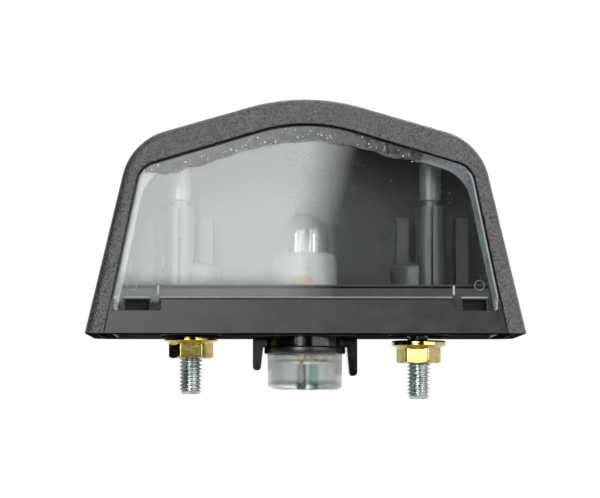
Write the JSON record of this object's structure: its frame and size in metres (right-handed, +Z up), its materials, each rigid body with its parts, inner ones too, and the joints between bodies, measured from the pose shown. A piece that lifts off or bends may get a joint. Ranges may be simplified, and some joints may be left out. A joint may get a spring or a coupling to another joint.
{
  "type": "number plate lamp",
  "caption": "Hooded number plate lamp for a family car: black housing, clear front window, wedge bulb in a milky holder, threaded studs with flange nuts underneath.",
  "frame": {"origin": "middle of the mounting face, on the line between the two studs", "axes": "+X along the lamp towards the right stud as seen from the window, +Y from the window to the back wall, +Z up from the mounting face to the roof"},
  "size_m": [0.0906, 0.032, 0.0616],
  "materials": {
    "hood_plastic": "fine grained black",
    "base_plastic": "smooth satin black",
    "window": "clear smooth plastic",
    "stud_steel": "bright zinc plated",
    "nut_steel": "yellow zinc plated",
    "seal_rubber": "smooth black rubber",
    "holder_plastic": "milky translucent plastic",
    "bulb_glass": "clear glass",
    "filament": "dark drawn wire",
    "bulb_wire": "bright drawn wire",
    "terminal_brass": "rolled strip",
    "grey_cover": "smooth soft plastic",
    "green_cover": "smooth soft plastic",
    "copper_strands": "bare copper strands"
  },
  "bodies": {
    "root": {"hood": "hood_plastic", "base": "base_plastic", "lens": "window", "stud_left": "stud_steel", "stud_right": "stud_steel", "nut_left": "nut_steel", "nut_right": "nut_steel", "holder_seal": "seal_rubber", "bulb_holder": "holder_plastic", "bulb_glass": "bulb_glass", "bulb_filament": "filament", "bulb_wire_left": "bulb_wire", "bulb_wire_right": "bulb_wire", "terminal_grey": "terminal_brass", "terminal_green": "terminal_brass", "lead_grey": "grey_cover", "lead_green": "green_cover", "core_grey": "copper_strands", "core_green": "copper_strands"}
  },
  "joints": []
}
